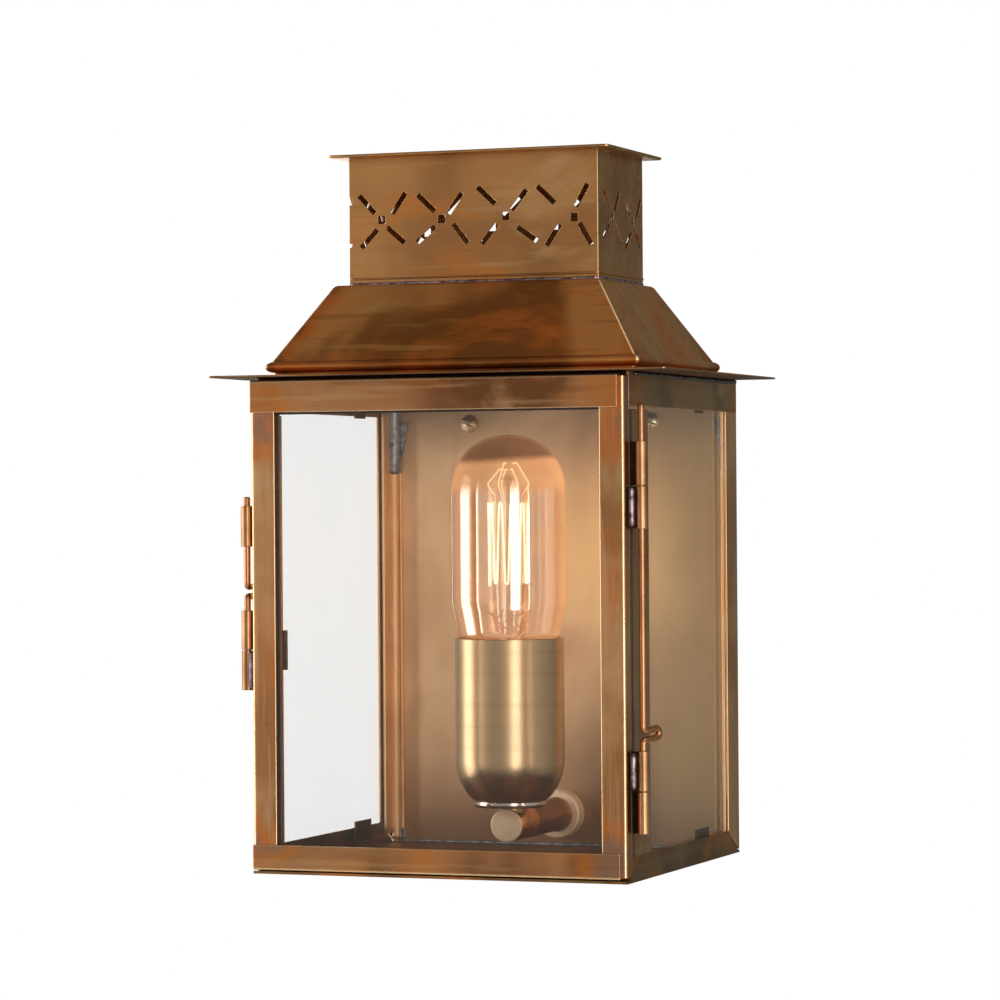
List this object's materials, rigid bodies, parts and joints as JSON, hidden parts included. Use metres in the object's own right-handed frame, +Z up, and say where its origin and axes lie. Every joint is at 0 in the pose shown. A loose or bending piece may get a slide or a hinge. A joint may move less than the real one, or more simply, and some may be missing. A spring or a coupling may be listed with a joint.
{
  "type": "outdoor wall lantern",
  "caption": "Glazed wall lantern of aged copper sheet: hinged door with lift-out rod and drop bolt, hipped roof, pierced vent box, lampholder on an arm with a tubular filament bulb.",
  "frame": {"origin": "on the wall, behind the middle of the case", "axes": "+Z up, +Y into the wall, +X to the right as seen from the front"},
  "size_m": [0.186, 0.142, 0.2787],
  "materials": {
    "aged_copper": "mottled, satin, brushed along the rails",
    "back_copper": "matt warm tan",
    "copper_rod": "satin wire",
    "solder": "dull silvery grey",
    "light_brass": "satin turned",
    "screw_brass": "aged",
    "nickel": "bright",
    "pane_glass": "clear",
    "bulb_glass": "clear, faintly amber",
    "ceramic": "glazed ceramic",
    "black_rubber": "matt",
    "brown_sleeve": "satin",
    "blue_sleeve": "satin",
    "filament": "glowing wire"
  },
  "bodies": {
    "case": {"back_plate": "back_copper", "base_tray": "aged_copper", "front_post_left": "aged_copper", "front_post_right": "aged_copper", "rear_post_left": "aged_copper", "rear_post_right": "aged_copper", "top_rail_left": "aged_copper", "top_rail_right": "aged_copper", "top_rail_front": "aged_copper", "corner_gusset_left": "solder", "corner_gusset_right": "solder", "side_glass_left": "pane_glass", "side_glass_right": "pane_glass", "left_pane_tab_top": "aged_copper", "left_pane_tab_bottom": "aged_copper", "left_pane_tab_front": "aged_copper", "right_pane_tab_top": "aged_copper", "right_pane_tab_bottom": "aged_copper", "right_pane_tab_front": "aged_copper", "brim": "aged_copper", "roof_bead": "aged_copper", "roof": "aged_copper", "vent_box": "aged_copper", "vent_cap": "aged_copper", "hinge_knuckle_upper_case": "aged_copper", "hinge_knuckle_lower_case": "aged_copper", "latch_guide": "aged_copper", "latch_knuckle_case": "aged_copper", "rose": "light_brass", "lamp_arm": "light_brass", "arm_end": "light_brass", "holder_nipple": "light_brass", "holder_ring": "nickel", "holder_cup": "light_brass", "holder_insulator": "ceramic", "holder_shell": "light_brass", "holder_contact": "light_brass", "lead_live": "brown_sleeve", "lead_neutral": "blue_sleeve", "cable_grommet": "black_rubber", "earth_screw": "screw_brass", "wall_screw_left": "screw_brass", "wall_screw_right": "screw_brass"},
    "door": {"door_stile_left": "aged_copper", "door_stile_right": "aged_copper", "door_rail_top": "aged_copper", "door_rail_bottom": "aged_copper", "door_glass": "pane_glass", "door_pane_tab_left": "aged_copper", "door_pane_tab_right": "aged_copper", "hinge_knuckle_upper_door": "aged_copper", "hinge_knuckle_lower_door": "aged_copper", "latch_knuckle_door": "aged_copper"},
    "hinge_rod": {"hinge_rod": "copper_rod"},
    "latch_bolt": {"latch_bolt": "copper_rod"},
    "bulb": {"bulb_glass": "bulb_glass", "bulb_cap": "nickel", "bulb_stem": "bulb_glass", "bulb_filament": "filament"}
  },
  "joints": [
    {"name": "door_hinge", "type": "hinge", "parent": "case", "child": "door", "pos_m": [0.0806, -0.1334, 0], "axis": [0, 0, 1], "range_deg": [0, 170]},
    {"name": "latch_lift", "type": "slide", "parent": "case", "child": "latch_bolt", "axis": [0, 0, 1], "range_m": [0, 0.014]},
    {"name": "rod_lift", "type": "slide", "parent": "case", "child": "hinge_rod", "axis": [0, 0, 1], "range_m": [0, 0.012]},
    {"name": "bulb_release", "type": "slide", "parent": "case", "child": "bulb", "axis": [0, 0, 1], "range_m": [0, 0.026]}
  ]
}
